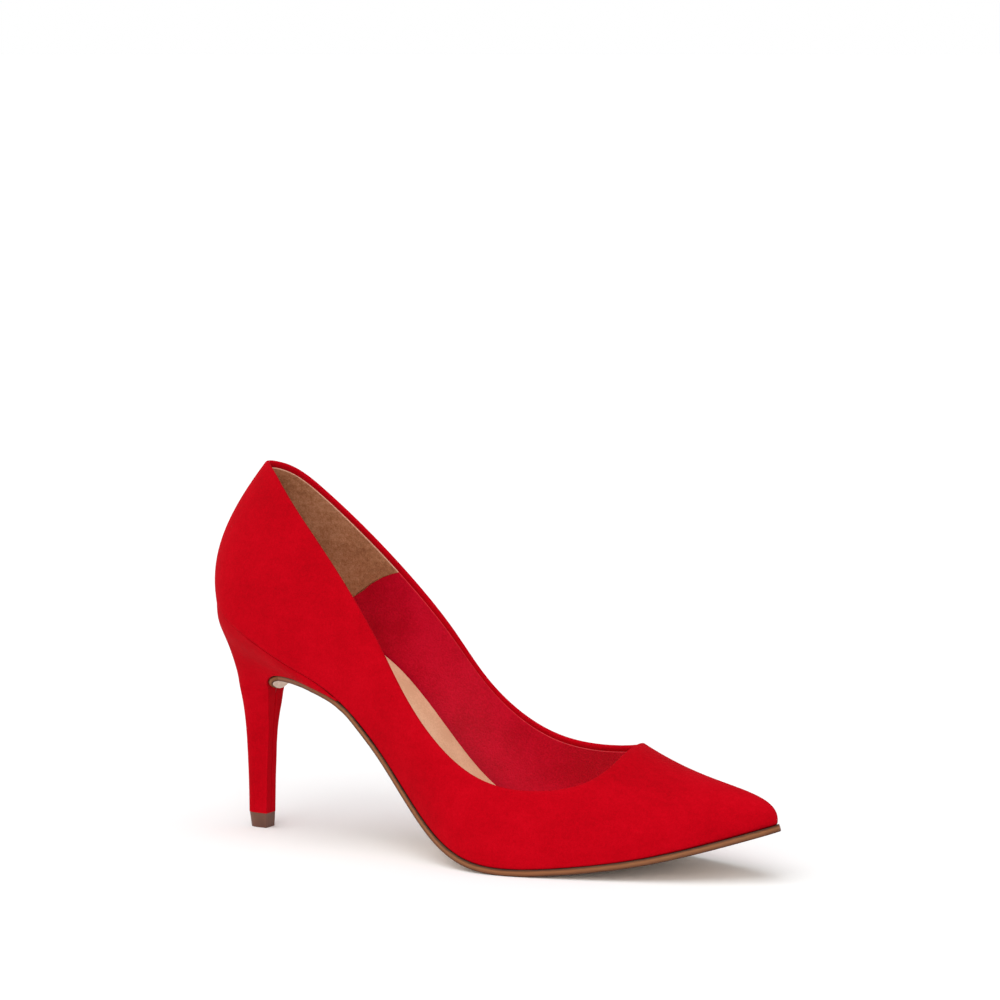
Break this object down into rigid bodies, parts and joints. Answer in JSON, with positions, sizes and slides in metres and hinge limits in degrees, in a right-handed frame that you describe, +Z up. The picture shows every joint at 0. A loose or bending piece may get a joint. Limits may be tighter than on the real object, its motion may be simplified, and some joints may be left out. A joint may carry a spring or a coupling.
{
  "type": "high heel pump",
  "caption": "Right-foot court shoe with a pointed toe, low-cut throat, thin sole and slim covered stiletto heel.",
  "frame": {"origin": "middle of the shoe's bounding box in plan, on the ground plane", "axes": "+X from the heel to the toe along the sole, +Y to the inner (big toe) side of this right shoe, +Z up"},
  "size_m": [0.2415, 0.0752, 0.1445],
  "materials": {
    "suede_red": "short-nap suede, matt",
    "suede_tan": "brushed suede, matt",
    "lining_leather": "smooth dyed lining leather, low sheen",
    "sock_leather": "smooth sheepskin, low sheen",
    "outsole_leather": "stained and waxed edge, pale buffed face",
    "top_piece_polyurethane": "moulded, matt",
    "heel_plastic": "moulded, matt",
    "steel": "drawn steel",
    "leatherboard": "pressed fibre board, matt",
    "backing_fabric": "plain woven backer",
    "foam": "open-cell latex foam"
  },
  "bodies": {
    "root": {"upper": "suede_red", "heel_cover": "suede_red", "heel_grip": "suede_tan", "vamp_lining": "lining_leather", "sock": "sock_leather", "outsole": "outsole_leather", "top_piece": "top_piece_polyurethane", "heel_block": "heel_plastic", "heel_dowel": "steel", "heel_screw": "steel", "heel_nails": "steel", "top_piece_pin": "steel", "shank": "steel", "shank_rivets": "steel", "heel_counter": "leatherboard", "outer_side_interlining": "backing_fabric", "inner_side_interlining": "backing_fabric", "toe_puff": "backing_fabric", "topline_tape": "backing_fabric", "insole_board": "leatherboard", "shank_board": "leatherboard", "bottom_filler": "backing_fabric", "sock_foam": "foam"}
  },
  "joints": []
}
